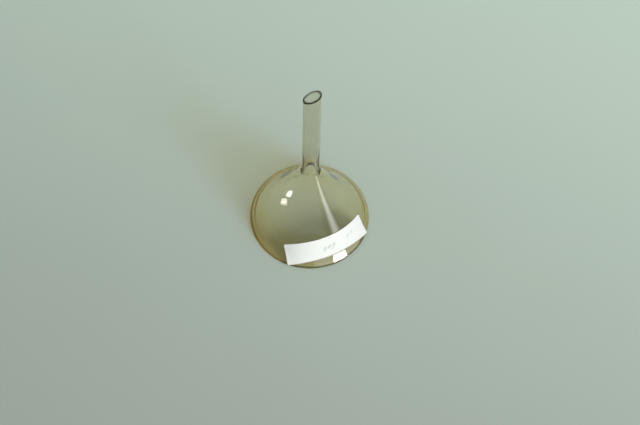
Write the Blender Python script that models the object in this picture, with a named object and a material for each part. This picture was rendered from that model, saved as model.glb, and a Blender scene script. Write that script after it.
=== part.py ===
"""A small laboratory funnel of blown glass, standing mouth down with its stem up.

The bowl is a thin turned shell with a fire-polished lip, the stem is a straight tube whose
end is cut on the slant, and a paper strip is gummed to the bowl above the lip. The origin is
the centre of the mouth on the surface that the lip rests on, and +Z runs up the stem.
"""
import math

import bpy
import numpy as np

MM = 0.001

# Driving dimensions
LIP_RADIUS = 30.0 * MM          # outermost edge of the mouth
BOWL_HEIGHT = 44.6 * MM         # resting plane to the corner between bowl and stem
STEM_RADIUS = 3.9 * MM          # outside of the stem tube
BORE_RADIUS = 3.05 * MM         # inside of the stem tube
TIP_HEIGHT = 101.0 * MM         # resting plane to the middle of the slanted end
TIP_SLOPE_X = 0.59              # rise of the slanted end towards +X
TIP_SLOPE_Y = -0.29             # rise of the slanted end towards +Y
WALL = 1.3 * MM                 # bowl's wall
LIP_BEAD = 0.95 * MM            # radius of the polished edge's round section
BEAD_SWEEP = math.radians(40.0)  # how far round the bead starts above the wall's own direction
SEAT_DEPTH = 0.12 * MM          # how far the flat seat cuts into that round section
NECK_SLOPE = 0.43               # how fast the bowl opens just below the stem
MOUTH_SLOPE = 0.71              # how fast it opens at the mouth, but for the lip
NECK_BEND = 0.6 * MM            # softness of the corner between bowl and stem
NECK_TUBE = 3.0 * MM            # upright neck of the bowl, where the tube is sealed on
LIP_CURL_LENGTH = 2.4 * MM      # height over which the lip turns outwards
GAP = 0.3 * MM                  # between neighbouring pieces

# Paper strip and the gum under it
LABEL_LENGTH = 45.4 * MM
LABEL_WIDTH = 10.7 * MM
LABEL_HEIGHT = 9.0 * MM         # resting plane to the middle of the strip
LABEL_TURN = math.radians(27.5)  # from the front, -Y, towards +X
SHEET = 0.15 * MM               # thickness of each sheet's solid
GUM_MARGIN = 0.4 * MM           # the gum stops this far inside the paper's edge

# Fineness of the facets
BOWL_STEPS = 64
STEM_STEPS = 32
WALL_RINGS = 15
BEAD_OUTER_POINTS = 6
BEAD_INNER_POINTS = 4
LABEL_COLUMNS = 26
LABEL_ROWS = 5
FACE_SAMPLES = 200

# Worked out from the driving dimensions
STEM_MIDDLE = 0.5 * (STEM_RADIUS + BORE_RADIUS)
WIDENING = (MOUTH_SLOPE - NECK_SLOPE) / (2.0 * BOWL_HEIGHT)
BEAD_CENTRE = LIP_RADIUS - LIP_BEAD
BEAD_HEIGHT = LIP_BEAD - SEAT_DEPTH
BEAD_DEPTH = BOWL_HEIGHT - BEAD_HEIGHT
WALL_END = BEAD_HEIGHT + 0.85 * LIP_BEAD
LIP_CURL = BEAD_CENTRE - STEM_MIDDLE - NECK_SLOPE * BEAD_DEPTH - WIDENING * BEAD_DEPTH**2

GLASS_TINT = (0.62, 0.60, 0.42, 1.0)
STEM_TINT = (0.66, 0.66, 0.52, 1.0)
PAPER_WHITE = (0.86, 0.87, 0.83, 1.0)
GUM_AMBER = (0.60, 0.50, 0.30, 1.0)


def clear_scene():
    """Removes every object the file opened with."""
    for old in list(bpy.data.objects):
        bpy.data.objects.remove(old, do_unlink=True)


def wall_middle(z):
    """Radius of the middle of the bowl's wall at height z, and its slope, both as arrays.

    It is the stem's radius, plus a cone that starts softly at the neck, plus a square term
    that makes the cone open wider towards the mouth, plus a lip that dies away upwards.
    """
    below = BOWL_HEIGHT - np.asarray(z, dtype=float)
    depth = np.maximum(below, 0.0)
    radius = STEM_MIDDLE + NECK_SLOPE * NECK_BEND * np.logaddexp(0.0, below / NECK_BEND) + WIDENING * depth**2
    slope = NECK_SLOPE / (1.0 + np.exp(-below / NECK_BEND)) + 2.0 * WIDENING * depth
    curl = LIP_CURL * np.exp((below - BEAD_DEPTH) / LIP_CURL_LENGTH)
    return radius + curl, slope + curl / LIP_CURL_LENGTH


def half_wall(z):
    """Half the wall's thickness at height z: the bowl's wall thins to the tube's at the neck."""
    tube = STEM_RADIUS - BORE_RADIUS
    below = BOWL_HEIGHT - np.asarray(z, dtype=float) - 2.0 * NECK_BEND
    return 0.5 * (tube + (WALL - tube) / (1.0 + np.exp(-below / NECK_BEND)))


def offset_wall(z, side):
    """Points of the wall's outer (side 1) or inner (side -1) face, square to its middle."""
    radius, slope = wall_middle(z)
    half = half_wall(z)
    length = np.sqrt(1.0 + slope**2)
    return radius + side * half / length, z + side * half * slope / length


def bead_facing():
    """Angle above the level that the wall's outer face looks at where it meets the bead."""
    _, slope = wall_middle(WALL_END)
    return math.atan(float(slope))


def bead(angles):
    """Points of the round edge at these angles above the level, seen in its section."""
    return BEAD_CENTRE + LIP_BEAD * np.cos(angles), BEAD_HEIGHT + LIP_BEAD * np.sin(angles)


def bowl_outline():
    """Closed outline of the bowl's wall as (radius, height) points.

    It goes down the outer face, round the polished edge with its flat seat, and up the inner
    face. The neck's end is level, because both faces are upright there.
    """
    top = BOWL_HEIGHT + NECK_TUBE
    crowded = 0.5 - 0.5 * np.cos(np.linspace(0.0, math.pi, WALL_RINGS))
    z = top + (WALL_END - top) * crowded
    outer_r, outer_z = offset_wall(z, 1)
    inner_r, inner_z = offset_wall(z[::-1], -1)
    outer_z[0] = top
    inner_z[-1] = top
    facing = bead_facing()
    seat = math.asin(BEAD_HEIGHT / LIP_BEAD)
    outside = np.linspace(facing + BEAD_SWEEP, -seat, BEAD_OUTER_POINTS)
    inside = np.linspace(seat - math.pi, facing - BEAD_SWEEP - math.pi, BEAD_INNER_POINTS)
    edge_r, edge_z = bead(np.concatenate([outside, inside]))
    edge_z[BEAD_OUTER_POINTS - 1:BEAD_OUTER_POINTS + 1] = 0.0
    radius = np.concatenate([outer_r, edge_r, inner_r])
    height = np.concatenate([outer_z, edge_z, inner_z])
    return np.stack([radius, height], axis=-1)


def ring_grid(outline, steps):
    """A closed outline turned round Z: rows follow the turn, columns follow the outline."""
    turn = 2.0 * math.pi * np.arange(steps) / steps
    x = np.cos(turn)[:, None] * outline[None, :, 0]
    y = np.sin(turn)[:, None] * outline[None, :, 0]
    z = np.broadcast_to(outline[None, :, 1], x.shape)
    return np.stack([x, y, z], axis=-1)


def closed_ring_object(name, grid):
    """An object from a grid that closes on itself both ways, such as a turned wall."""
    rows, columns = grid.shape[:2]
    i, j = np.meshgrid(np.arange(rows), np.arange(columns), indexing="ij")
    i_next = (i + 1) % rows
    j_next = (j + 1) % columns
    corners = [i * columns + j, i * columns + j_next, i_next * columns + j_next, i_next * columns + j]
    faces = np.stack(corners, axis=-1).reshape(-1, 4)
    return new_object(name, grid.reshape(-1, 3), faces)


def new_object(name, points, faces):
    """A smooth-shaded object with these points and faces, linked to the scene."""
    mesh = bpy.data.meshes.new(name)
    mesh.from_pydata(points.tolist(), [], faces.tolist())
    mesh.validate()
    mesh.shade_smooth()
    mesh.set_sharp_from_angle(angle=math.radians(35.0))
    made = bpy.data.objects.new(name, mesh)
    bpy.context.scene.collection.objects.link(made)
    return made


def finish(made, slot, colour, roughness, transmission=0.0):
    """Gives the object a material of its own."""
    material = bpy.data.materials.new(slot)
    material.use_nodes = True
    shader = material.node_tree.nodes["Principled BSDF"]
    shader.inputs["Base Color"].default_value = colour
    shader.inputs["Roughness"].default_value = roughness
    shader.inputs["Metallic"].default_value = 0.0
    shader.inputs["Transmission Weight"].default_value = transmission
    made.data.materials.append(material)
    return made


def make_bowl():
    """The blown bowl: one turned wall from the neck's end to the lip and back inside."""
    bowl = closed_ring_object("bowl", ring_grid(bowl_outline(), BOWL_STEPS))
    return finish(bowl, "bowl_glass", GLASS_TINT, 0.03, 0.9)


def make_stem():
    """The stem: a tube that starts above the neck and ends on a slanted plane."""
    start = BOWL_HEIGHT + NECK_TUBE + GAP
    section = np.array([
        [STEM_RADIUS, TIP_HEIGHT],
        [STEM_RADIUS, start],
        [BORE_RADIUS, start],
        [BORE_RADIUS, TIP_HEIGHT],
    ])
    grid = ring_grid(section, STEM_STEPS).copy()
    ends = grid[:, [0, 3], :]
    ends[..., 2] = TIP_HEIGHT + TIP_SLOPE_X * ends[..., 0] + TIP_SLOPE_Y * ends[..., 1]
    grid[:, [0, 3], :] = ends
    stem = closed_ring_object("stem", grid)
    return finish(stem, "stem_glass", STEM_TINT, 0.03, 0.9)


def outer_face():
    """The bowl's outer face from the neck to under the lip, with the way along it.

    Gives arrays of the distance along the face, radius, height, and the direction square to
    the face as radius and height shares.
    """
    z = np.linspace(BOWL_HEIGHT, WALL_END, FACE_SAMPLES)
    wall_r, wall_z = offset_wall(z, 1)
    _, slope = wall_middle(z)
    length = np.sqrt(1.0 + slope**2)
    angles = np.linspace(bead_facing() + BEAD_SWEEP, 0.0, FACE_SAMPLES // 4)
    edge_r, edge_z = bead(angles)
    r = np.concatenate([wall_r, edge_r])
    z = np.concatenate([wall_z, edge_z])
    out = np.concatenate([1.0 / length, np.cos(angles)])
    rise = np.concatenate([slope / length, np.sin(angles)])
    way = np.concatenate([[0.0], np.cumsum(np.hypot(np.diff(r), np.diff(z)))])
    return way, r, z, out, rise


def on_bowl(along, up, lift):
    """Places a flat strip's points on the bowl, this far off its outer face.

    The strip is unrolled on the cone that touches the bowl along the strip's middle line. A
    point along and up on the flat strip keeps its distance from that cone's tip, which gives
    its turn round the bowl and how far down the outer face it lies.
    """
    way, face_r, face_z, out, rise = outer_face()
    middle = np.interp(-LABEL_HEIGHT, -face_z, np.arange(face_z.size))
    samples = np.arange(face_z.size)
    lean = math.atan(np.interp(middle, samples, rise) / np.interp(middle, samples, out))
    reach = np.interp(middle, samples, face_r) / math.sin(lean)
    from_tip = np.hypot(along, reach - up)
    turn = LABEL_TURN + np.arctan2(along, reach - up) / math.sin(lean)
    down = np.interp(middle, samples, way) + from_tip - reach
    r = np.interp(down, way, face_r) + lift * np.interp(down, way, out)
    z = np.interp(down, way, face_z) + lift * np.interp(down, way, rise)
    return np.stack([r * np.sin(turn), -r * np.cos(turn), z], axis=-1)


def strip_object(name, length, width, lift):
    """A closed thin sheet of this size, bent onto the bowl at this distance off it."""
    along, up = np.meshgrid(
        np.linspace(-0.5 * length, 0.5 * length, LABEL_COLUMNS),
        np.linspace(-0.5 * width, 0.5 * width, LABEL_ROWS),
        indexing="ij",
    )
    near = on_bowl(along, up, lift)
    far = on_bowl(along, up, lift + SHEET)
    section = np.concatenate([far, near[:, ::-1]], axis=1)
    rows, columns = section.shape[:2]
    i, j = np.meshgrid(np.arange(rows - 1), np.arange(columns), indexing="ij")
    j_next = (j + 1) % columns
    corners = [i * columns + j, (i + 1) * columns + j, (i + 1) * columns + j_next, i * columns + j_next]
    sides = np.stack(corners, axis=-1).reshape(-1, 4)
    half = columns // 2
    k = np.arange(half - 1)
    first_end = np.stack([k, k + 1, columns - 2 - k, columns - 1 - k], axis=-1)
    last_end = (rows - 1) * columns + first_end[:, ::-1]
    faces = np.concatenate([sides, first_end, last_end])
    return new_object(name, section.reshape(-1, 3), faces)


def make_gum():
    """The dried film of gum that holds the paper to the glass."""
    margin = 2.0 * GUM_MARGIN
    gum = strip_object("label_gum", LABEL_LENGTH - margin, LABEL_WIDTH - margin, GAP)
    return finish(gum, "gum", GUM_AMBER, 0.35)


def make_label():
    """The paper strip, one gap outside the gum."""
    label = strip_object("paper_label", LABEL_LENGTH, LABEL_WIDTH, 2.0 * GAP + SHEET)
    return finish(label, "paper", PAPER_WHITE, 0.85)


clear_scene()
make_bowl()
make_stem()
make_gum()
make_label()
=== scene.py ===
# %% [markdown]
# # A blown glass funnel, standing on its mouth
#
# This is a small laboratory funnel: a thin cone of faintly smoky glass, a straight tube sealed to
# its point, and a strip of white paper gummed on just above the lip. It stands mouth down, so
# the light comes through the wall, falls on the table inside and comes out again. Everything
# that makes it look like glass is thickness: the wall has an outer and an inner face, and most
# of the colour comes from the glass between them.
#
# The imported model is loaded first. It fixes every size and place below.

# %% Load the frame
import math

import bpy
import numpy as np
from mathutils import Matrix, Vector


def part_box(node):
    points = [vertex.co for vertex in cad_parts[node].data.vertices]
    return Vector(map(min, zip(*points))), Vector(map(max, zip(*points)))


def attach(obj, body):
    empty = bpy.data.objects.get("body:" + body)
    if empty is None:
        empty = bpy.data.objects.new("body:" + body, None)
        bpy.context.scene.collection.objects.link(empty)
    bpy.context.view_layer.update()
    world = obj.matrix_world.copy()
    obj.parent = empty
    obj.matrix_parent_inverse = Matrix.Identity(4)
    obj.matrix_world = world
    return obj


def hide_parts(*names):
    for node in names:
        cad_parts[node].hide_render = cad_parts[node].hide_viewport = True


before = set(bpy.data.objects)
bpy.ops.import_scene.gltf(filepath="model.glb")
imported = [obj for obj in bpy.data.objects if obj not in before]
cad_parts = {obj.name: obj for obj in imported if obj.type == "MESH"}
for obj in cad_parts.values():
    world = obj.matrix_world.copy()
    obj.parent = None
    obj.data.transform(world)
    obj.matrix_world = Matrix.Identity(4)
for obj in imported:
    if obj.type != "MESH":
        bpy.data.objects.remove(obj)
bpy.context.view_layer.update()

MM = 0.001

# %% [markdown]
# ## Sizes
#
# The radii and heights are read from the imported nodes, so they can't drift away from the design.
# What a box can't say, such as how fast the cone opens, is given here in the design's own terms.
# Slopes are the growth of the radius for each step down.

# %% Sizes from the frame
bowl_low, bowl_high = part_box("bowl")
stem_low, stem_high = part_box("stem")
LIP_RADIUS = round(0.5 * (bowl_high[0] - bowl_low[0]), 4)
STEM_RADIUS = 0.5 * (stem_high[0] - stem_low[0])
NECK_TOP = bowl_high[2]

TIP_SLOPE_X, TIP_SLOPE_Y = 0.59, -0.29
TIP_HEIGHT = stem_high[2] - STEM_RADIUS * math.hypot(TIP_SLOPE_X, TIP_SLOPE_Y)
NECK_TUBE = 3.0 * MM
BOWL_HEIGHT = NECK_TOP - NECK_TUBE
BORE_RADIUS = STEM_RADIUS - 0.85 * MM
WALL = 1.3 * MM
LIP_BEAD = 0.95 * MM
SEAT_DEPTH = 0.12 * MM
NECK_SLOPE, MOUTH_SLOPE = 0.43, 0.71
NECK_BEND = 0.6 * MM
LIP_CURL_LENGTH = 2.4 * MM
LIP_GROWTH = 3.3 * MM

STEM_MIDDLE = 0.5 * (STEM_RADIUS + BORE_RADIUS)
WIDENING = (MOUTH_SLOPE - NECK_SLOPE) / (2.0 * BOWL_HEIGHT)
BEAD_CENTRE = LIP_RADIUS - LIP_BEAD
BEAD_HEIGHT = LIP_BEAD - SEAT_DEPTH
BEAD_DEPTH = BOWL_HEIGHT - BEAD_HEIGHT
WALL_END = BEAD_HEIGHT
LIP_CURL = BEAD_CENTRE - STEM_MIDDLE - NECK_SLOPE * BEAD_DEPTH - WIDENING * BEAD_DEPTH**2
print(f"mouth {2 * LIP_RADIUS / MM:.1f} mm, stem {2 * STEM_RADIUS / MM:.1f} mm, "
      f"bowl {BOWL_HEIGHT / MM:.1f} mm high, tip at {TIP_HEIGHT / MM:.1f} mm")

# %% [markdown]
# ## Meshes from grids
#
# Every piece here is a grid of points: two numbers in, one place out. One helper turns such a
# grid into a mesh. It joins each point to its neighbours with four-sided faces, and it can wrap
# the grid in either direction, which is how a turned shape closes on itself with no seam.

# %% A grid becomes a mesh
def grid_faces(rows, columns, wrap_rows, wrap_columns):
    """Corner numbers of the faces between neighbours of a rows by columns grid."""
    i, j = np.meshgrid(
        np.arange(rows if wrap_rows else rows - 1),
        np.arange(columns if wrap_columns else columns - 1),
        indexing="ij",
    )
    i_next, j_next = (i + 1) % rows, (j + 1) % columns
    this_row, next_row = i * columns, i_next * columns
    corners = [this_row + j, this_row + j_next, next_row + j_next, next_row + j]
    return np.stack(corners, axis=-1).reshape(-1, 4)


def make_piece(name, points, faces, body="root"):
    """A smooth-shaded object at the origin, made of these points and faces, on a body."""
    mesh = bpy.data.meshes.new(name)
    mesh.from_pydata(points.reshape(-1, 3).tolist(), [], faces.tolist())
    mesh.shade_smooth()
    piece = bpy.data.objects.new(name, mesh)
    bpy.context.scene.collection.objects.link(piece)
    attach(piece, body)
    print(f"{name}: {len(mesh.vertices)} points, {len(mesh.polygons)} faces")
    return piece


# %% [markdown]
# ## The wall's section
#
# A glassblower spins the hot bulb and opens it with a tool, so the bowl is a turned shape and one
# curve describes it. Halfway through the wall, the radius at a depth below the neck is the tube's
# radius, plus a cone, plus a square term that lets the cone open faster towards the mouth, plus
# a lip that fades in over the last few millimetres. The cone starts through `logaddexp`, a
# function that bends softly from zero to a straight line: that bend is the small fillet at
# the neck. The two faces lie half a wall to each side of this curve, square to it.

# %% The middle of the wall and its thickness
def wall_middle(z):
    """Radius of the wall's middle at height z, and how fast it grows downwards."""
    below = BOWL_HEIGHT - np.asarray(z, dtype=float)
    depth = np.maximum(below, 0.0)
    cone = NECK_SLOPE * NECK_BEND * np.logaddexp(0.0, below / NECK_BEND)
    radius = STEM_MIDDLE + cone + WIDENING * depth**2
    slope = NECK_SLOPE / (1.0 + np.exp(-below / NECK_BEND)) + 2.0 * WIDENING * depth
    curl = LIP_CURL * np.exp((below - BEAD_DEPTH) / LIP_CURL_LENGTH)
    return radius + curl, slope + curl / LIP_CURL_LENGTH


def half_wall(z):
    """Half the wall's thickness, which thins from the bowl's to the tube's through the neck.

    The share of the bowl's wall is a logistic curve of the depth below the neck.
    """
    tube = STEM_RADIUS - BORE_RADIUS
    below = BOWL_HEIGHT - np.asarray(z, dtype=float) - 2.0 * NECK_BEND
    return 0.5 * (tube + (WALL - tube) / (1.0 + np.exp(-below / NECK_BEND)))


# %% [markdown]
# Real glass isn't as even as that. It gathers at the lip, where the flame rounded the edge into a
# bead, and at the seal, where the tube was pushed onto the neck while both were soft. The
# extra glass is all on the inside, because the outside was smoothed against a tool.

# %% Where the glass is thicker, and the wall's two faces
LIP_EXTRA, LIP_EXTRA_HEIGHT, LIP_EXTRA_REACH = 0.02 * MM, 3.5 * MM, 9.0 * MM
SEAL_EXTRA, SEAL_HEIGHT, SEAL_REACH = 0.24 * MM, 47.0 * MM, 9.0 * MM


def into_lip(z):
    """How far the wall has swelled into the bead: 0 above the lip, 1 at the bead's middle.

    It is three times the square of the share of the way less twice its cube, level at both ends.
    """
    share = np.clip(1.0 - (z - BEAD_HEIGHT) / LIP_GROWTH, 0.0, 1.0)
    return share * share * (3.0 - 2.0 * share)


def gathered(z):
    """Extra glass on the inner face, as two bell curves: one above the lip and one at the seal."""
    near_lip = LIP_EXTRA * np.exp(-(((z - LIP_EXTRA_HEIGHT) / LIP_EXTRA_REACH) ** 2))
    at_seal = SEAL_EXTRA * np.exp(-(((z - SEAL_HEIGHT) / SEAL_REACH) ** 2))
    return near_lip + at_seal


def wall_face(z, side):
    """Radius and height of the outer (side 1) or inner (side -1) face of the wall.

    Each point of the wall's middle moves half a wall along the curve's own normal. The inner
    face moves further where glass has gathered, and both move to the bead's radius at the lip.
    """
    radius, slope = wall_middle(z)
    half, length = half_wall(z), np.sqrt(1.0 + slope**2)
    if side < 0:
        half = half + gathered(z)
    half = half + (LIP_BEAD - half) * into_lip(z)
    return radius + side * half / length, z + side * half * slope / length


def bead(angles):
    """Radius and height on the polished edge's circle, at these angles above the level.

    They are the circle's centre plus its radius times the cosine and the sine.
    """
    return BEAD_CENTRE + LIP_BEAD * np.cos(angles), BEAD_HEIGHT + LIP_BEAD * np.sin(angles)


_, slope_at_bead = wall_middle(WALL_END)
BEAD_FACING = math.atan(float(slope_at_bead))

# %% [markdown]
# The whole section is one closed line: down the outside of the tube and the bowl, round the
# polished lip, and up the inside to the tip again. The lip melted round under the flame and then
# settled on a flat plate, so the bottom of its circle is cut off a little: that flat is the seat.

# %% The closed section
TUBE_RINGS, WALL_RINGS, BEAD_RINGS, CUT_RINGS = 60, 104, 30, 5
EDGE_ROUND = 0.10 * MM


def closed_section():
    """The glass's outline as radius and height arrays: down the outside and up the inside."""
    tube_z = np.linspace(TIP_HEIGHT - EDGE_ROUND, NECK_TOP, TUBE_RINGS, endpoint=False)
    crowded = 0.5 - 0.5 * np.cos(np.linspace(0.0, math.pi, WALL_RINGS))
    wall_z = NECK_TOP + (WALL_END - NECK_TOP) * crowded
    outer_r, outer_z = wall_face(wall_z, 1)
    inner_r, inner_z = wall_face(wall_z[::-1], -1)
    turn = np.linspace(BEAD_FACING, BEAD_FACING - math.pi, BEAD_RINGS + 2)[1:-1]
    bead_r, bead_z = bead(turn)
    cut_r = np.linspace(BORE_RADIUS + EDGE_ROUND, STEM_RADIUS - EDGE_ROUND, CUT_RINGS)
    cut_z = np.full(CUT_RINGS, TIP_HEIGHT)
    tube_r, bore_r = np.full(TUBE_RINGS, STEM_RADIUS), BORE_RADIUS - gathered(tube_z[::-1])
    radius = np.concatenate([tube_r, outer_r, bead_r, inner_r, bore_r, cut_r])
    height = np.concatenate([
        tube_z, outer_z, np.maximum(bead_z, 0.0), inner_z, tube_z[::-1], cut_z,
    ])
    return radius, height


section_r, section_z = closed_section()
print(f"section of {section_r.size} points, lowest {section_z.min() / MM:.2f} mm")

# %% [markdown]
# ## The glass body
#
# Bowl and stem are one piece of glass, because the tube was melted onto the neck. So one surface
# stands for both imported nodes. The section is carried round the axis, and then two hand-made
# things are added. Nothing blown is quite round, so the radius wavers by a few hundredths of a
# millimetre, which is enough to make the reflections swim. And the tip was cut on the slant
# and never polished, so its edge is chipped.

# %% Turn the section, slant the tip and chip its edge
AROUND = 240
# Each wave: lobes round the axis, height in mm, phase, and twist in radians per metre.
WAVER = (
    (2, 0.050, 0.4, 60.0), (3, 0.030, 2.1, -110.0), (5, 0.016, 4.0, 170.0), (8, 0.007, 1.2, 260.0),
)
THICKNESS_WAVER = ((1, 0.050, 3.0, 20.0), (4, 0.018, 0.9, -90.0))
# Each chip: its place round the edge in radians, its depth in mm, and its width in radians.
CHIPS = (
    (1.35, 0.30, 0.10), (1.75, 0.45, 0.06), (2.05, 0.60, 0.07), (2.35, 0.35, 0.05),
    (2.62, 0.50, 0.07), (3.30, 0.30, 0.10), (4.40, 0.15, 0.08), (5.60, 0.20, 0.07),
    (0.35, 0.20, 0.06),
)
STEADY_NECK, STEADY_LIP = 8.0 * MM, 3.0 * MM
CHIP_ZONE = 0.5 * MM


def ripple(turn, z, waves):
    """Sum of waves, each a cosine of so many lobes round the axis, turned by its twist times z."""
    total = np.zeros(np.broadcast_shapes(turn.shape, z.shape))
    for lobes, size, phase, twist in waves:
        total = total + size * MM * np.cos(lobes * turn + phase + twist * z)
    return total


def chips(turn):
    """Depth of the nicks along the cut edge: a bell curve of its own width for each."""
    depth = np.zeros_like(turn)
    for place, deep, wide in CHIPS:
        away = np.angle(np.exp(1j * (turn - place)))
        depth = depth + deep * MM * np.exp(-((away / wide) ** 2))
    return depth


def glass_points():
    """The section carried round Z, wavering, with its top sheared onto the slanted plane.

    A place is the section's radius times the cosine and sine of the turn, and its height. Up the
    tube, the height gains a growing share of the slant's rise at that place.
    """
    turn = 2.0 * math.pi * np.arange(AROUND)[:, None] / AROUND
    r, z = section_r[None, :], section_z[None, :]
    count = section_r.size
    from_inside = np.arange(count) >= TUBE_RINGS + WALL_RINGS + BEAD_RINGS
    below_neck = np.clip((NECK_TOP - z) / STEADY_NECK, 0.15, 1.0)
    in_bowl = below_neck * np.clip(z / STEADY_LIP, 0.25, 1.0)
    thinner = from_inside * in_bowl * ripple(turn, z, THICKNESS_WAVER)
    moved = r + in_bowl * ripple(turn, z, WAVER) + thinner
    x, y = moved * np.cos(turn), moved * np.sin(turn)
    up_tube = np.clip((z - NECK_TOP) / (TIP_HEIGHT - NECK_TOP), 0.0, 1.0)
    slanted = z + up_tube * (TIP_SLOPE_X * x + TIP_SLOPE_Y * y)
    near_edge = np.clip((r - BORE_RADIUS) / (STEM_RADIUS - BORE_RADIUS), 0.0, 1.0)
    at_tip = np.clip((z - TIP_HEIGHT + CHIP_ZONE) / CHIP_ZONE, 0.0, 1.0)
    slanted = slanted - at_tip * near_edge**1.5 * chips(turn)
    return np.stack([x, y, np.broadcast_to(slanted, x.shape)], axis=-1)


body_faces = grid_faces(AROUND, section_r.size, True, True)
glass_body = make_piece("glass_body", glass_points(), body_faces)
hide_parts("bowl", "stem")

# %% [markdown]
# ## Shader maths
#
# A material's graph reads better as arithmetic than as a list of links. `Value` wraps one output
# socket, and Python's own operators on it add Math nodes, so `1 - mask * 0.5` is a piece of a
# graph. `Finish` holds a material or a world and adds any other node by its type.

# %% Two small classes for materials
class Value:
    """One number or colour inside a material, which operators can work on."""

    def __init__(self, finish, socket):
        self.finish, self.socket = finish, socket

    def math(self, operation, *others):
        """The result of a Math node on this value and the others."""
        inputs = {index: value for index, value in enumerate((self, *others))}
        return self.finish.node("ShaderNodeMath", {"operation": operation}, inputs)

    def __add__(self, other):
        return self.math("ADD", other)

    def __sub__(self, other):
        return self.math("SUBTRACT", other)

    def __mul__(self, other):
        return self.math("MULTIPLY", other)

    def __truediv__(self, other):
        return self.math("DIVIDE", other)

    def __pow__(self, other):
        return self.math("POWER", other)

    def __rsub__(self, other):
        return (self * -1.0) + other

    __radd__, __rmul__ = __add__, __mul__

    def step(self, low, high):
        """0 below low, 1 above high, and smooth between. With low above high it falls instead."""
        settings = {"interpolation_type": "SMOOTHSTEP"}
        inputs = {"Value": self, "From Min": low, "From Max": high}
        return self.finish.node("ShaderNodeMapRange", settings, inputs)


class Finish:
    """The nodes of a material or a world.

    surface() sets what its faces look like, and volume() what fills the space they enclose.
    """

    def __init__(self, block):
        self.block = block
        block.use_nodes = True
        self.tree = block.node_tree
        self.tree.nodes.clear()
        kind = "World" if isinstance(block, bpy.types.World) else "Material"
        self.output = self.tree.nodes.new("ShaderNodeOutput" + kind)

    def outputs(self, kind, *names):
        """Several outputs of one node."""
        made = self.node(kind).socket.node
        return [Value(self, made.outputs[name]) for name in names]

    def axes(self, vector):
        """A vector's three parts."""
        made = self.node("ShaderNodeSeparateXYZ", None, {0: vector}).socket.node
        return [Value(self, made.outputs[name]) for name in "XYZ"]

    def node(self, kind, settings=None, inputs=None, output=0):
        """Adds a node, sets its settings and then its inputs, and gives one of its outputs."""
        made = self.tree.nodes.new(kind)
        for key, value in (settings or {}).items():
            setattr(made, key, value)
        for key, value in (inputs or {}).items():
            if isinstance(value, Value):
                self.tree.links.new(value.socket, made.inputs[key])
            else:
                made.inputs[key].default_value = value
        return Value(self, made.outputs[output])

    def place(self):
        """Object coordinates, which are metres from the origin on every piece here."""
        return self.node("ShaderNodeTexCoord", output="Object")

    def noise(self, where, scale, detail=2.0, roughness=0.5):
        """Soft noise from 0 to 1, with about scale bumps to the metre."""
        inputs = {"Vector": where, "Scale": scale, "Detail": detail, "Roughness": roughness}
        return self.node("ShaderNodeTexNoise", None, inputs)

    def stretched(self, where, factors):
        """Coordinates scaled along each axis, which draws a pattern out the other way."""
        return self.node("ShaderNodeVectorMath", {"operation": "MULTIPLY"}, {0: where, 1: factors})

    def blend(self, share, first, second):
        """A colour between two colours."""
        settings = {"data_type": "RGBA"}
        return self.node("ShaderNodeMix", settings, {0: share, 6: first, 7: second}, output=2)

    def bump(self, height, distance):
        """A normal that rises and falls with height, by distance in metres."""
        return self.node("ShaderNodeBump", None, {"Height": height, "Distance": distance})

    def thin_to_lamps(self, shader, share):
        """The shader, with this share of a lamp's light let through at each face."""
        passing = self.node("ShaderNodeBsdfTransparent", None, {"Color": share})
        (shadow,) = self.outputs("ShaderNodeLightPath", "Is Shadow Ray")
        return self.node("ShaderNodeMixShader", None, {0: shadow, 1: shader, 2: passing})

    def surface(self, shader):
        """Makes the shader the look of the faces, and gives back the material or world."""
        self.tree.links.new(shader.socket, self.output.inputs["Surface"])
        return self.block

    def volume(self, shader):
        """Fills the space inside with the shader."""
        self.tree.links.new(shader.socket, self.output.inputs["Volume"])


# %% [markdown]
# ## Glass
#
# The glass is clear with a trace of iron and manganese, which eats blue light first. That
# belongs to the depth of the glass: an absorbing volume fills the wall, so a thick edge or
# a grazing view is darker and browner than a square look through one wall, as in life.
#
# A lamp's light can't find its way through a bent surface by chance in a few samples, so
# rays that ask how bright the table is, shadow rays and rays that left a matt surface, pass
# straight through. They still lose a share at each face, as much as glass reflects.
# Everything that is seen directly goes through the true refracting shader.
#
# Handling leaves a film on the stem, and standing water has left yellow stains in blotches round
# the lower bowl. The yellow and brown tints there grow towards the front-left and the lip, and
# that part is painted shade: it stands in for the darker, warmer light that reaches that side of
# the table inside through more glass. They tint the surface lightly, and add up where several
# faces overlap.

# %% The glass material
# How much red, green and blue light a metre of the glass takes away, as natural logarithms.
ABSORB_PER_M = (22.0, 54.0, 158.0)
DENSITY = 200.0
FACE_PASSES = 0.955
CLEAR = (1.0, 1.0, 1.0, 1.0)
FILM, YELLOW_STAIN_AND_SHADE = (0.90, 0.89, 0.91, 1.0), (0.90, 0.83, 0.56, 1.0)
BROWN_PAINTED_SHADE = (0.74, 0.62, 0.44, 1.0)


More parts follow.
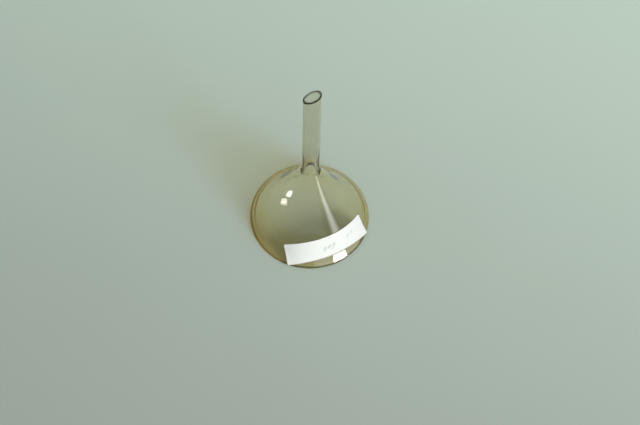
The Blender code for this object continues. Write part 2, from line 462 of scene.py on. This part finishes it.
def stain_and_shade_colour(finish, where, handled):
    """The glass's surface colour: a film on the stem, and stains with painted shade low on the
    bowl.
    """
    x, y, z = finish.axes(where)
    on_stem = z.step(NECK_TOP - 4.0 * MM, NECK_TOP + 4.0 * MM)
    filmed = finish.blend(on_stem * 0.8 + handled * 0.2, CLEAR, FILM)
    flattened = finish.stretched(where, (1.0, 1.0, 2.5))
    blotches = finish.noise(flattened, 62.0, 3.0, 0.55).step(0.40, 0.62)
    # Painted shade: a tint that grows towards the front-left.
    front_left_shade = (x * -0.7 + y * -0.7).step(10.0 * MM, 27.0 * MM)
    yellow_stain_and_shade = (blotches * 0.35 + 0.30 + front_left_shade * 0.60) * z.step(24.0 * MM, 8.0 * MM)
    # Painted shade: brown low on the front-left, near the lip.
    brown_shade = (x * -0.8 + y * -0.6).step(19.0 * MM, 28.0 * MM) * z.step(14.0 * MM, 4.0 * MM)
    yellowed_and_shaded = finish.blend(yellow_stain_and_shade * 0.8, filmed, YELLOW_STAIN_AND_SHADE)
    return finish.blend(brown_shade * 0.6, yellowed_and_shaded, BROWN_PAINTED_SHADE)


def open_to_lamps(finish, shader):
    """The shader, but clear to rays that only ask for light: shadow rays and matt bounces."""
    passing = finish.node("ShaderNodeBsdfTransparent", None, {"Color": (*[FACE_PASSES] * 3, 1.0)})
    shadow, matt = finish.outputs("ShaderNodeLightPath", "Is Shadow Ray", "Is Diffuse Ray")
    seen = finish.node("ShaderNodeMixShader", None, {0: shadow, 1: shader, 2: passing})
    return finish.node("ShaderNodeMixShader", None, {0: matt, 1: seen, 2: passing})


def glass_material():
    """Clear refracting faces, slightly wavy, round a volume that absorbs blue light first."""
    finish = Finish(bpy.data.materials.new("smoky_clear_glass"))
    where = finish.place()
    drawn = finish.noise(finish.stretched(where, (1.0, 1.0, 0.06)), 900.0, 2.0, 0.45)
    swirl = finish.noise(finish.stretched(where, (1.0, 1.0, 0.45)), 130.0, 3.0, 0.5)
    handled = finish.noise(where, 85.0, 4.0, 0.6).step(0.52, 0.78)
    shader = finish.node("ShaderNodeBsdfPrincipled", None, {
        "Base Color": stain_and_shade_colour(finish, where, handled),
        "Roughness": handled * 0.035 + 0.004,
        "IOR": 1.5,
        "Transmission Weight": 1.0,
        "Normal": finish.bump(drawn * 0.04 + swirl, 0.02 * MM),
    })
    inputs = {"Color": (*[1.0 - a / DENSITY for a in ABSORB_PER_M], 1.0), "Density": DENSITY}
    finish.volume(finish.node("ShaderNodeVolumeAbsorption", None, inputs))
    return finish.surface(open_to_lamps(finish, shader))


# %% [markdown]
# The slanted end was cracked off and left rough. Its outer half broke away in small shells that
# hold dirt, so it reads as a thin ragged dark line with a few bright specks. The half next to
# the bore is only ground dull, and it stays pale.

# %% The rough cut end
DARK_SHELL, SHELL_SPECK = (0.022, 0.028, 0.018, 1.0), (0.20, 0.23, 0.17, 1.0)
GROUND_DULL = (0.38, 0.39, 0.29, 1.0)


def cut_edge_material():
    """Pale ground glass next to the bore, and dark specked shells past a ragged line."""
    finish = Finish(bpy.data.materials.new("rough_cut_glass"))
    where = finish.place()
    grain = finish.noise(where, 2600.0, 3.0, 0.6)
    speck = finish.noise(where, 1100.0, 2.0, 0.5).step(0.55, 0.66)
    x, y, _ = finish.axes(where)
    radius = (x * x + y * y).math("SQRT") + finish.noise(where, 1500.0, 2.0, 0.5) * (0.30 * MM)
    outer_half = radius.step(STEM_RADIUS - 0.42 * MM, STEM_RADIUS - 0.18 * MM)
    shells = finish.blend(speck, DARK_SHELL, SHELL_SPECK)
    return finish.surface(finish.node("ShaderNodeBsdfPrincipled", None, {
        "Base Color": finish.blend(outer_half, GROUND_DULL, shells),
        "Roughness": grain * 0.3 + 0.45,
        "Specular IOR Level": 0.2,
        "Normal": finish.bump(grain, 0.06 * MM),
    }))


# %% [markdown]
# The flat it rests on is ground dull. Its olive-brown colour is dirt together with painted
# contact shade: the dark line where the lip meets the table, which the round lip above it
# magnifies into a dark outline. On the left it is lighter and browner, and climbs a little higher.

# %% The dull seat
SEAT_DIRT_AND_SHADE_FRONT = (0.105, 0.125, 0.072, 1.0), (0.150, 0.165, 0.095, 1.0)
SEAT_DIRT_AND_SHADE_LEFT = (0.20, 0.185, 0.085, 1.0), (0.30, 0.26, 0.13, 1.0)
GROUND_SEAT = (0.38, 0.38, 0.24, 1.0)


def dirt_and_shade_seat_material():
    """Dirt and painted contact shade on ground glass: darkest in front, lighter and browner
    towards -X, and fading off towards +X and +Y.
    """
    finish = Finish(bpy.data.materials.new("ground_seat_dirt_and_shade"))
    where = finish.place()
    x, y, _ = finish.axes(where)
    patches = finish.noise(where, 110.0, 4.0, 0.6)
    mottled = patches.step(0.3, 0.7)
    front_dirt_and_shade, rubbed = finish.blend(mottled, *SEAT_DIRT_AND_SHADE_FRONT), finish.blend(mottled, *SEAT_DIRT_AND_SHADE_LEFT)
    # Dirt and painted contact shade: the front colours, and the lighter, browner ones held in
    # rubbed towards -X.
    seat_dirt_and_shade = finish.blend((x * -1.0 + patches * (4.0 * MM)).step(8.0 * MM, 20.0 * MM), front_dirt_and_shade, rubbed)
    fades_to_ground = ((x + y) * 14.0 + patches * 0.6).step(0.45, 0.95)
    return finish.surface(finish.node("ShaderNodeBsdfPrincipled", None, {
        "Base Color": finish.blend(fades_to_ground, seat_dirt_and_shade, GROUND_SEAT),
        "Roughness": patches * 0.2 + 0.6,
        "Normal": finish.bump(patches, 0.03 * MM),
    }))


# %% [markdown]
# The three finishes are shared out by the faces' places in the grid. A face's column says where
# it lies along the section: the last few columns cross the cut end, and those near the floor are
# the seat. Its row says how far round it lies, which lets the seat's dirt and painted shade stop
# raggedly at the back.

# %% Which face has which finish
# Height and turn of the seat's dirt and painted contact shade.
SEAT_DIRT_AND_SHADE_TOP, CLIMB_ON_LEFT = 0.12 * MM, 0.13 * MM
DIRT_AND_SHADE_FROM, DIRT_AND_SHADE_TO = -165.0, 68.0

for finished in (glass_material(), cut_edge_material(), dirt_and_shade_seat_material()):
    glass_body.data.materials.append(finished)
columns = section_r.size
column = np.tile(np.arange(columns), AROUND)
on_cut = column >= columns - CUT_RINGS - 1
face_top = np.maximum(section_z, np.roll(section_z, -1))[column]
face_turn = np.degrees(2.0 * math.pi * (np.arange(AROUND * columns) // columns + 0.5) / AROUND)
from_front = (face_turn + 90.0 + 180.0) % 360.0 - 180.0
ragged = 5.0 * np.sin(face_turn * 0.7) + 4.0 * np.sin(face_turn * 1.9 + 1.0)
climb = CLIMB_ON_LEFT * np.clip((-40.0 - from_front) / 40.0, 0.0, 1.0)
in_dirt_and_shade = (from_front > DIRT_AND_SHADE_FROM + ragged) & (from_front < DIRT_AND_SHADE_TO + ragged)
on_seat = (face_top < SEAT_DIRT_AND_SHADE_TOP + climb) & in_dirt_and_shade
finish_of_face = (on_cut * 1 + on_seat * 2).astype(np.int32)
glass_body.data.polygons.foreach_set("material_index", finish_of_face)
print(f"{int(on_cut.sum())} faces on the cut end, {int(on_seat.sum())} on the seat")

# %% [markdown]
# ## The paper strip
#
# A strip of paper can bend but not stretch, so it lies on a cone the way a flat strip rolls: its
# long edges become arcs. The strip is laid out on the cone that touches the bowl along the
# strip's middle. A point on the flat strip has a distance from that cone's tip and an angle
# there. The distance says how far down the glass it lies, and the angle says how far round.

# %% Lay a flat strip on the bowl
LABEL_LENGTH, LABEL_WIDTH, LABEL_CORNER = 45.4 * MM, 10.7 * MM, 0.7 * MM
LABEL_HEIGHT = 9.0 * MM
LABEL_TURN = math.radians(27.5)
FACE_SAMPLES = 900


def outer_face():
    """Way down the outer face from the neck, its radius and height, and its normal.

    The way is the sum of the straight steps between neighbouring points, and the normal is given
    as how far it points outwards and how far it rises.
    """
    z = np.linspace(BOWL_HEIGHT, WALL_END, FACE_SAMPLES)
    wall_r, wall_z = wall_face(z, 1)
    _, slope = wall_middle(z)
    length = np.sqrt(1.0 + slope**2)
    angles = np.linspace(BEAD_FACING, 0.0, FACE_SAMPLES // 4)
    edge_r, edge_z = bead(angles)
    r, z = np.concatenate([wall_r, edge_r]), np.concatenate([wall_z, edge_z])
    out = np.concatenate([1.0 / length, np.cos(angles)])
    rise = np.concatenate([slope / length, np.sin(angles)])
    way = np.concatenate([[0.0], np.cumsum(np.hypot(np.diff(r), np.diff(z)))])
    return way, r, z, out, rise


face_way, face_r, face_z, face_out, face_rise = outer_face()


def on_bowl(along, up, lift):
    """Place on the bowl of a point along and up on the flat strip, lifted off the glass.

    The flat distance to the cone's tip is the hypotenuse of along and reach less up. The turn is
    the angle there divided by the sine of the cone's half angle.
    """
    samples = np.arange(face_z.size)
    middle = np.interp(-LABEL_HEIGHT, -face_z, samples)
    lean = math.atan(np.interp(middle, samples, face_rise) / np.interp(middle, samples, face_out))
    reach = np.interp(middle, samples, face_r) / math.sin(lean)
    from_tip = np.hypot(along, reach - up)
    turn = LABEL_TURN + np.arctan2(along, reach - up) / math.sin(lean)
    down = np.interp(middle, samples, face_way) + from_tip - reach
    r = np.interp(down, face_way, face_r) + lift * np.interp(down, face_way, face_out)
    z = np.interp(down, face_way, face_z) + lift * np.interp(down, face_way, face_rise)
    return np.stack([r * np.sin(turn), -r * np.cos(turn), z], axis=-1)


def strip_outline(length, width, corner, rows, columns):
    """A flat grid with round corners: each row is as long as the outline is wide there.

    In a corner, half the length shrinks by the corner's radius less the root of its square less
    the square of the way into the corner.
    """
    up = 0.5 * width * np.sin(0.5 * math.pi * np.linspace(-1.0, 1.0, rows))
    into_corner = np.clip(np.abs(up) - (0.5 * width - corner), 0.0, corner)
    half = 0.5 * length - corner + np.sqrt(corner**2 - into_corner**2)
    along = half[None, :] * np.linspace(-1.0, 1.0, columns)[:, None]
    return along, np.broadcast_to(up[None, :], along.shape)


def sheet_piece(name, along, up, lift_under, lift_over):
    """A closed thin sheet: its upper side, its under side, and the edge between them."""
    over, under = on_bowl(along, up, lift_over), on_bowl(along, up, lift_under)
    columns, rows = along.shape
    ring = np.concatenate([over, under[:, ::-1]], axis=1)
    sides = grid_faces(columns, 2 * rows, False, True)
    k = np.arange(rows - 1)
    first = np.stack([k + 1, k, 2 * rows - 1 - k, 2 * rows - 2 - k], axis=-1)
    last = (columns - 1) * 2 * rows + first[:, ::-1]
    faces = np.concatenate([sides[:, ::-1], first[:, ::-1], last[:, ::-1]])
    piece = make_piece(name, ring, faces)
    uv = piece.data.uv_layers.new(name="strip")
    corner_points = np.empty(len(piece.data.loops), dtype=np.int32)
    piece.data.loops.foreach_get("vertex_index", corner_points)
    strip = np.stack([along, up], axis=-1)
    flat = np.concatenate([strip, strip[:, ::-1]], axis=1).reshape(-1, 2) / MM
    uv.data.foreach_set("uv", flat[corner_points].astype(np.float32).ravel())
    return piece


# %% [markdown]
# Damp gum made the paper cockle: it rises and falls by a few hundredths of a millimetre. As it
# dried, both ends curled up by a tenth.

# %% The paper
GUM_FILM, PAPER, HAIR_GAP = 0.05 * MM, 0.11 * MM, 0.01 * MM
COCKLE, CURL, CURLED_SHARE = 0.02 * MM, 0.10 * MM, 0.07

label_along, label_up = strip_outline(LABEL_LENGTH, LABEL_WIDTH, LABEL_CORNER, 26, 150)
cockle = COCKLE * (1.0 + np.sin(label_along * 610.0 + 1.0) * np.sin(label_up * 820.0 + 0.5))
from_middle = np.abs(label_along) / (0.5 * LABEL_LENGTH)
curl = CURL * np.clip(from_middle - 1.0 + CURLED_SHARE, 0.0, 1.0) / CURLED_SHARE
lift = GUM_FILM + HAIR_GAP + cockle + curl
paper_label = sheet_piece("paper_label_strip", label_along, label_up, lift, lift + PAPER)
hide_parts("paper_label")

# %% [markdown]
# The gum under the strip is a film of the same shape, a touch shorter, and set lower so that its
# dark brown edge shows as a thin line below the strip's lower edge.

# %% Gum film under the strip
GUM_SHORTER, GUM_CORNER, GUM_LOWER, GUM_UNDER = 0.2 * MM, 0.8 * MM, 0.35 * MM, 0.012 * MM

gum_along, gum_up = strip_outline(
    LABEL_LENGTH - GUM_SHORTER, LABEL_WIDTH - GUM_SHORTER, GUM_CORNER, 22, 120,
)
ooze = 1.0 + 0.006 * np.sin(gum_along * 900.0) + 0.008 * np.sin(gum_along * 370.0 + 2.0)
gum_film = sheet_piece("gum_film", gum_along, gum_up * ooze - GUM_LOWER, GUM_UNDER, GUM_FILM)
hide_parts("label_gum")

# %% [markdown]
# ## Paper, pencil and gum
#
# The paper is uncoated: fibres make it faintly mottled and give it a soft tooth. Its edges are
# grubby. It is also painted greyer towards the window: painted shade, where the window's light
# would otherwise make it pure white. It was written on in pencil and that has all but faded, so
# only a few grey ticks are left. They are drawn here as short soft strokes that say nothing. The
# strip's own flat coordinates, in millimetres, place them.

# %% Faded ticks
# Each stroke: its middle along and up the strip in mm, its length, its lean, and its darkness.
STROKES = (
    (-3.0, -0.9, 2.6, 1.05, 0.60), (-0.6, -0.4, 2.6, 0.60, 0.65), (2.0, 0.0, 2.4, 0.95, 0.70),
    (0.8, -1.9, 1.6, 0.20, 0.45), (10.4, 0.3, 2.4, 0.90, 0.50), (13.0, 0.9, 2.0, 0.50, 0.42),
)
STROKE_HALF_WIDTH = 0.62


def stroke_mask(finish, u, v):
    """Darkness of the ticks: the sum of soft ellipses, each full at its middle and 0 outside.

    The ellipse adds the squares of the way along the stroke over half its length and of the
    way off it over half its width.
    """
    total = None
    for across, above, long, lean, dark in STROKES:
        along_line = (u - across) * math.cos(lean) + (v - above) * math.sin(lean)
        off_line = (v - above) * math.cos(lean) - (u - across) * math.sin(lean)
        off = (along_line / (0.5 * long)) ** 2.0 + (off_line / STROKE_HALF_WIDTH) ** 2.0
        tick = off.step(1.9, 0.2) * dark
        total = tick if total is None else total + tick
    return total


# %% [markdown]
# Paper this thin isn't quite opaque, and neither is the gum: a little of the window's light comes
# through both, warmer than it went in, and softens the shadow under the strip. A clear shader
# that only shadow rays meet lets that share through at each face of each sheet.

# %% Paper and gum materials
FRESH, WINDOW_SIDE_SHADE = (0.655, 0.665, 0.645, 1.0), (0.540, 0.548, 0.538, 1.0)
GRUBBY, PENCIL = (0.50, 0.495, 0.45, 1.0), (0.25, 0.245, 0.285, 1.0)
GUM_DARK, GUM_PALE = (0.20, 0.16, 0.11, 1.0), (0.34, 0.27, 0.19, 1.0)
PAPER_PASSES, GUM_PASSES = (0.66, 0.64, 0.56, 1.0), (0.70, 0.66, 0.55, 1.0)


def paper_material():
    """White paper with painted shade greying it to the right, grubby at its edges, with ticks of
    faded pencil.
    """
    finish = Finish(bpy.data.materials.new("uncoated_paper"))
    where = finish.place()
    u, v, _ = finish.axes(finish.node("ShaderNodeUVMap", {"uv_map": "strip"}))
    fibre = finish.noise(finish.stretched(where, (1.0, 1.0, 1.6)), 2400.0, 5.0, 0.65)
    mottle = finish.noise(where, 260.0, 3.0, 0.5)
    edge = (v * v / (0.5 * LABEL_WIDTH / MM) ** 2).step(0.80, 1.0)
    ends = (u * u / (0.5 * LABEL_LENGTH / MM) ** 2).step(0.93, 1.0)
    grime = (edge + ends).math("MINIMUM", 1.0) * 0.35 + mottle * 0.25
    # Painted shade: the paper greys from -18 mm to 12 mm along the strip, towards the window.
    white = finish.blend(grime, finish.blend(u.step(-18.0, 12.0), FRESH, WINDOW_SIDE_SHADE), GRUBBY)
    rubbed = finish.noise(where, 900.0, 4.0, 0.7).step(0.28, 0.5)
    shader = finish.node("ShaderNodeBsdfPrincipled", None, {
        "Base Color": finish.blend(stroke_mask(finish, u, v) * rubbed * 0.8, white, PENCIL),
        "Roughness": fibre * 0.15 + 0.75,
        "Specular IOR Level": 0.3,
        "Normal": finish.bump(fibre, 0.03 * MM),
    })
    return finish.surface(finish.thin_to_lamps(shader, PAPER_PASSES))


def gum_material():
    """Dried gum: amber brown, crazed and a little glossy."""
    finish = Finish(bpy.data.materials.new("dried_gum"))
    crazed = finish.noise(finish.place(), 1300.0, 4.0, 0.6)
    shader = finish.node("ShaderNodeBsdfPrincipled", None, {
        "Base Color": finish.blend(crazed.step(0.35, 0.7), GUM_DARK, GUM_PALE),
        "Roughness": crazed * 0.3 + 0.2,
        "Normal": finish.bump(crazed, 0.02 * MM),
    })
    return finish.surface(finish.thin_to_lamps(shader, GUM_PASSES))


paper_label.data.materials.append(paper_material())
gum_film.data.materials.append(gum_material())
print("label finishes:", paper_label.data.materials[0].name, gum_film.data.materials[0].name)

# %% [markdown]
# ## The table, the light and the camera
#
# The funnel stands on a matt, pale grey-green table, with painted light that makes it a little
# lighter at the back and towards +X. The table is drawn a hair below the seat: two faces in one
# plane would leave the renderer to choose between them, and the seat's dirt and painted shade
# would come out black.

# %% The table
TABLE_HALF, TABLE_GAP = 6.0, 0.02 * MM
TABLE_DARK, TABLE_PALE = (0.315, 0.348, 0.315, 1.0), (0.505, 0.60, 0.515, 1.0)


def surroundings_face(name, points, material):
    """One four-sided face, for what surrounds the object."""
    mesh = bpy.data.meshes.new(name)
    mesh.from_pydata(points, [], [(0, 1, 2, 3)])
    mesh.materials.append(material)
    sheet = bpy.data.objects.new(name, mesh)
    bpy.context.scene.collection.objects.link(sheet)
    return sheet


def table_material():
    """Matt paint with fine grain, with painted light making it paler towards the back and a little
    towards +X.
    """
    finish = Finish(bpy.data.materials.new("pale_table"))
    where = finish.place()
    x, y, _ = finish.axes(where)
    # Painted light: paler towards the back and towards +X, with a little random tone.
    painted_light_share = finish.noise(where, 7.0, 3.0, 0.5) * 0.1 + x * 0.55 + y * 2.1
    grain = finish.noise(where, 900.0, 3.0, 0.6)
    return finish.surface(finish.node("ShaderNodeBsdfPrincipled", None, {
        "Base Color": finish.blend(painted_light_share.step(-0.45, 0.62), TABLE_DARK, TABLE_PALE),
        "Roughness": grain * 0.1 + 0.6,
        "Specular IOR Level": 0.0,
        "Normal": finish.bump(grain, 0.01 * MM),
    }))


table_corners = [
    (x * TABLE_HALF, y * TABLE_HALF, -TABLE_GAP) for x, y in ((-1, -1), (1, -1), (1, 1), (-1, 1))
]
floor = surroundings_face("table_top", table_corners, table_material())

# %% [markdown]
# The light comes from a window in front and to the right, low enough to throw a long soft shadow.
# An area lamp stands for the window, and a larger, dimmer one for the bright curtain round it.
# Each is given by how bright its surface is, so making it larger adds light as a larger window
# would.

# %% The window
ABOVE_TABLE = (0.0, 0.0, 0.02)


def toward(azimuth, elevation, distance):
    """A place this far off, turned from the front, -Y, towards +X, and raised."""
    a, e = math.radians(azimuth), math.radians(elevation)
    level = distance * math.cos(e)
    return (level * math.sin(a), -level * math.cos(a), distance * math.sin(e))


def aim(thing, target):
    """Turns a lamp or camera so that it looks from its place at the target."""
    way = Vector(target) - thing.location
    thing.rotation_euler = way.to_track_quat("-Z", "Y").to_euler()


def pane(name, azimuth, elevation, distance, width, height, radiance):
    """An area lamp whose brightness is the same however large it is made."""
    lamp = bpy.data.lights.new(name, "AREA")
    lamp.shape, lamp.size, lamp.size_y = "RECTANGLE", width, height
    lamp.energy = radiance * math.pi * width * height
    thing = bpy.data.objects.new(name, lamp)
    bpy.context.scene.collection.objects.link(thing)
    thing.location = toward(azimuth, elevation, distance)
    aim(thing, ABOVE_TABLE)
    thing.visible_camera = False


pane("window", 50.5, 24.5, 3.5, 1.26, 1.45, 21.5)
pane("curtain_glow", 50.0, 24.0, 3.6, 5.0, 2.5, 1.7)

# %% [markdown]
# Two effects that a few samples can't find by chance are set down one by one. The first: the
# curved wall gathers window light into two small bright patches on the table inside the bowl.
# Narrow beams make them, bluish so that the patches come out near white through the yellowish
# glass.

# %% Light gathered by the curved wall
BEAM_COLOUR, BEAM_BLEND, BEAM_REACH = (0.73, 0.67, 1.0), 0.55, 0.14
# Each patch: its place across and back on the table, its width in mm, and the beam's power.
PATCHES = (
    (-10.8, 13.9, 3.0, 3.2), (-11.3, 12.2, 3.2, 3.2), (-13.2, 8.6, 3.4, 2.2),
    (-13.9, 7.0, 2.6, 1.5), (-12.4, 6.6, 2.2, 1.1),
)


def gathered_light(name, x, y, width, power):
    """A narrow beam that lights a patch this wide at x, y on the table."""
    lamp = bpy.data.lights.new(name, "SPOT")
    lamp.energy, lamp.color, lamp.shadow_soft_size = power, BEAM_COLOUR, 0.0
    lamp.spot_size, lamp.spot_blend = 2.0 * math.atan(0.5 * width / BEAM_REACH), BEAM_BLEND
    thing = bpy.data.objects.new(name, lamp)
    bpy.context.scene.collection.objects.link(thing)
    thing.location = (x + 0.3 * BEAM_REACH, y - 0.3 * BEAM_REACH, 0.9 * BEAM_REACH)
    aim(thing, (x, y, 0.0))


for number, (patch_x, patch_y, width, power) in enumerate(PATCHES):
    gathered_light(f"gathered_patch_{number}", patch_x * MM, patch_y * MM, width * MM, power)
print(len(PATCHES), "narrow beams")

# %% [markdown]
# The second: seen at a low angle, the table towards the window glares, and the cone reflects that
# as one long thin streak. A wedge just above the table gives the glare. It is hidden from
# everything but reflections, so the table itself stays matt.

# %% Table glare
GLARE_TURN, GLARE_FADE, GLARE_CORE = math.radians(57.0), math.radians(11.0), math.radians(0.5)
GLARE_BEND, GLARE_STRENGTH = 0.05, 6.2
GLARE_EDGES = math.radians(38.0), math.radians(72.0)
GLARE_NEAR, GLARE_FAR, GLARE_LIFT = 0.13, 1.8, 0.4 * MM
BLACK, WHITE = (0.0, 0.0, 0.0, 1.0), (1.0, 1.0, 1.0, 1.0)


def sheen_material():
    """Bright along the way to the window, fading to both sides of it by the angle away."""
    finish = Finish(bpy.data.materials.new("sheen"))
    x, y, _ = finish.axes(finish.place())
    turn = x.math("ARCTAN2", y * -1.0) + (x * x + y * y).math("SQRT") * GLARE_BEND
    share = (turn - GLARE_TURN).math("ABSOLUTE").step(GLARE_FADE, GLARE_CORE)
    inputs = {"Color": finish.blend(share, BLACK, WHITE), "Strength": GLARE_STRENGTH}
    return finish.surface(finish.node("ShaderNodeEmission", None, inputs))


def table_glare():
    """A wedge of table towards the window, bright only to what reflects it."""
    first, last = GLARE_EDGES
    corners = ((GLARE_NEAR, first), (GLARE_FAR, first), (GLARE_FAR, last), (GLARE_NEAR, last))
    points = [(r * math.sin(a), -r * math.cos(a), GLARE_LIFT) for r, a in corners]
    wedge = surroundings_face("table_glare", points, sheen_material())
    wedge.visible_camera = wedge.visible_diffuse = False
    wedge.visible_transmission = wedge.visible_shadow = False


table_glare()

# %% [markdown]
# Everything else is the even light of a pale room, a smooth change from dim at the level of the
# table to bright overhead.

# %% The room
HORIZON, OVERHEAD = (0.22, 0.235, 0.22, 1.0), (0.48, 0.515, 0.50, 1.0)


def room():
    """A pale room: dimmer towards the horizon, brighter overhead."""
    finish = Finish(bpy.data.worlds.new("pale_room"))
    _, _, up = finish.axes(finish.node("ShaderNodeTexCoord", output="Generated"))
    colour = finish.blend(up.step(-0.05, 0.75), HORIZON, OVERHEAD)
    return finish.surface(finish.node("ShaderNodeBackground", None, {"Color": colour}))


bpy.context.scene.world = room()
bpy.context.scene.view_settings.view_transform = "Standard"

# %% [markdown]
# The camera looks down steeply, so the bowl is seen as a round disc with the stem rising from
# its middle, and the lip's far side is hidden. It is held a little askew.

# %% The camera
camera_data = bpy.data.cameras.new("camera")
camera_data.sensor_width, camera_data.lens = 36.0, 52.3
camera = bpy.data.objects.new("camera", camera_data)
bpy.context.scene.collection.objects.link(camera)
camera.location = (5.2 * MM, -226.3 * MM, 411.9 * MM)
aim(camera, (5.2 * MM, 2.0 * MM, 0.0))
camera.rotation_euler.rotate_axis("Z", math.radians(2.52))
bpy.context.scene.camera = camera
print(f"camera {camera.location.length / MM:.0f} mm away")
